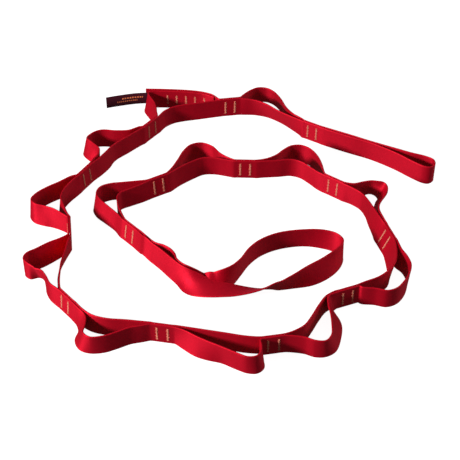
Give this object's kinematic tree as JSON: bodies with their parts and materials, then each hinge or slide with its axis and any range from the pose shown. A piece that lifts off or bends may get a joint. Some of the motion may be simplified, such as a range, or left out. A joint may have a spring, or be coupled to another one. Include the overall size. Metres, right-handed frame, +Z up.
{
  "type": "multi-loop stretching strap",
  "caption": "Flat woven stretching strap sewn into a row of hand and foot pockets with a long end loop and a large foot loop, laid on its edge in a spiral.",
  "frame": {"origin": "middle of the laid-out strap's footprint, on the floor it stands on", "axes": "+X to the right as it is looked at, +Y away from the viewer, +Z up across the webbing's width"},
  "size_m": [0.4452, 0.4226, 0.0253],
  "materials": {
    "webbing": "satin woven webbing",
    "thread": "matte zigzag thread",
    "label": "matte woven tape"
  },
  "bodies": {
    "end_loop_body": {"tack_01a": "thread", "webbing_end_loop": "webbing"},
    "pocket_01_body": {"tack_01b": "thread", "tack_02a": "thread", "webbing_pocket_01": "webbing"},
    "pocket_02_body": {"label_tape": "label", "splice_tack_1": "thread", "splice_tack_2": "thread", "splice_tack_3": "thread", "splice_tack_4": "thread", "splice_tack_5": "thread", "tack_02b": "thread", "tack_03a": "thread", "webbing_pocket_02": "webbing"},
    "pocket_03_body": {"tack_03b": "thread", "tack_04a": "thread", "webbing_pocket_03": "webbing"},
    "pocket_04_body": {"tack_04b": "thread", "tack_05a": "thread", "webbing_pocket_04": "webbing"},
    "pocket_05_body": {"tack_05b": "thread", "tack_06a": "thread", "webbing_pocket_05": "webbing"},
    "pocket_06_body": {"tack_06b": "thread", "tack_07a": "thread", "webbing_pocket_06": "webbing"},
    "pocket_07_body": {"tack_07b": "thread", "tack_08a": "thread", "webbing_pocket_07": "webbing"},
    "pocket_08_body": {"tack_08b": "thread", "tack_09a": "thread", "webbing_pocket_08": "webbing"},
    "pocket_09_body": {"tack_09b": "thread", "tack_10a": "thread", "webbing_pocket_09": "webbing"},
    "pocket_10_body": {"tack_10b": "thread", "tack_11a": "thread", "webbing_pocket_10": "webbing"},
    "pocket_11_body": {"tack_11b": "thread", "tack_12a": "thread", "webbing_pocket_11": "webbing"},
    "pocket_12_body": {"tack_12b": "thread", "tack_13a": "thread", "webbing_pocket_12": "webbing"},
    "pocket_13_body": {"tack_13b": "thread", "tack_14a": "thread", "webbing_pocket_13": "webbing"},
    "foot_loop_body": {"tack_14b": "thread", "webbing_foot_loop": "webbing"}
  },
  "joints": [
    {"name": "seam_01_bend", "type": "hinge", "parent": "pocket_01_body", "child": "end_loop_body", "pos_m": [0.08965, 0.13894, 0.0125], "axis": [0, 0, 1], "range_deg": [-3, 60]},
    {"name": "seam_02_bend", "type": "hinge", "parent": "pocket_02_body", "child": "pocket_01_body", "pos_m": [-0.00535, 0.18544, 0.0125], "axis": [0, 0, 1], "range_deg": [-2, 45]},
    {"name": "seam_03_bend", "type": "hinge", "parent": "pocket_03_body", "child": "pocket_02_body", "pos_m": [-0.09635, 0.14394, 0.0125], "axis": [0, 0, 1], "range_deg": [-2, 30]},
    {"name": "seam_04_bend", "type": "hinge", "parent": "pocket_04_body", "child": "pocket_03_body", "pos_m": [-0.16485, 0.06094, 0.0125], "axis": [0, 0, 1], "range_deg": [-2, 30]},
    {"name": "seam_05_bend", "type": "hinge", "parent": "pocket_05_body", "child": "pocket_04_body", "pos_m": [-0.17735, -0.02856, 0.0125], "axis": [0, 0, 1], "range_deg": [-2, 30]},
    {"name": "seam_06_bend", "type": "hinge", "parent": "pocket_06_body", "child": "pocket_05_body", "pos_m": [-0.16985, -0.13056, 0.0125], "axis": [0, 0, 1], "range_deg": [-2, 30]},
    {"name": "seam_07_bend", "type": "hinge", "parent": "pocket_07_body", "child": "pocket_06_body", "pos_m": [-0.07135, -0.16876, 0.0125], "axis": [0, 0, 1], "range_deg": [-2, 30]},
    {"name": "seam_08_bend", "type": "hinge", "parent": "pocket_07_body", "child": "pocket_08_body", "pos_m": [0.03665, -0.18356, 0.0125], "axis": [0, 0, -1], "range_deg": [-2, 20]},
    {"name": "seam_09_bend", "type": "hinge", "parent": "pocket_08_body", "child": "pocket_09_body", "pos_m": [0.11265, -0.11906, 0.0125], "axis": [0, 0, -1], "range_deg": [-2, 12]},
    {"name": "seam_10_bend", "type": "hinge", "parent": "pocket_09_body", "child": "pocket_10_body", "pos_m": [0.15865, -0.03756, 0.0125], "axis": [0, 0, -1], "range_deg": [-2, 10]},
    {"name": "seam_11_bend", "type": "hinge", "parent": "pocket_10_body", "child": "pocket_11_body", "pos_m": [0.10815, 0.04444, 0.0125], "axis": [0, 0, -1], "range_deg": [-2, 8]},
    {"name": "seam_12_bend", "type": "hinge", "parent": "pocket_11_body", "child": "pocket_12_body", "pos_m": [0.01165, 0.07494, 0.0125], "axis": [0, 0, -1], "range_deg": [-2, 8]},
    {"name": "seam_13_bend", "type": "hinge", "parent": "pocket_12_body", "child": "pocket_13_body", "pos_m": [-0.08485, 0.04744, 0.0125], "axis": [0, 0, -1], "range_deg": [-3, 12]},
    {"name": "seam_14_bend", "type": "hinge", "parent": "pocket_13_body", "child": "foot_loop_body", "pos_m": [-0.11335, -0.03056, 0.0125], "axis": [0, 0, -1], "range_deg": [-3, 10]}
  ]
}
